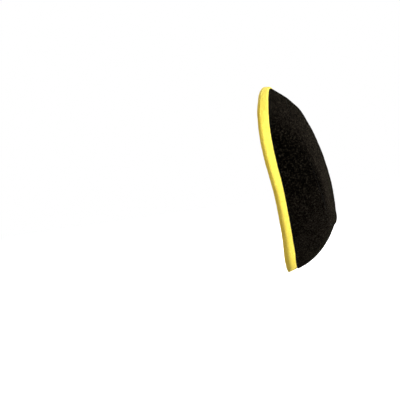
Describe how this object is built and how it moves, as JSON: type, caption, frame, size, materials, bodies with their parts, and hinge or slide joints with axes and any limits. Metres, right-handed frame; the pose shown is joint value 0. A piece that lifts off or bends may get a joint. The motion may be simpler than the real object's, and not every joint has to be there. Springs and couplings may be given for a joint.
{
  "type": "foam air filter",
  "caption": "Two-stage foam air filter for an off-road motorcycle: a black foam dome on a yellow sealing rim, over a moulded support cage with locating pins.",
  "frame": {"origin": "centre of the clean-air opening, on the plane where the sealing rim meets the airbox", "axes": "+X from the airbox towards the dirty side, along the dome's depth; +Z along the filter's length towards its wide, shallow end; +Y across its width"},
  "size_m": [0.082, 0.1592, 0.2605],
  "materials": {
    "coarse_foam": "open-cell polyurethane foam, about 12 cells per centimetre, matte",
    "fine_foam": "fine open-cell polyurethane foam, about 24 cells per centimetre, matte",
    "rim_foam": "dense fine-cell polyurethane foam, matte",
    "seam_adhesive": "cured flexible adhesive, satin",
    "cage_plastic": "moulded black nylon",
    "pin_steel": "turned zinc-plated steel"
  },
  "bodies": {
    "cage": {"support_cage": "cage_plastic", "locating_pins": "pin_steel"},
    "element": {"outer_face_panel": "coarse_foam", "outer_side_band": "coarse_foam", "inner_face_panel": "fine_foam", "inner_side_band": "fine_foam", "sealing_rim": "rim_foam", "outer_face_seam_bond": "seam_adhesive", "inner_face_seam_bond": "seam_adhesive", "rim_seam_bond": "seam_adhesive", "outer_band_joint_bond": "seam_adhesive", "inner_band_joint_bond": "seam_adhesive", "rim_joint_bond": "seam_adhesive"}
  },
  "joints": [
    {"name": "element_pull_off", "type": "slide", "parent": "cage", "child": "element", "axis": [1, 0, 0], "range_m": [0, 0.11]}
  ]
}
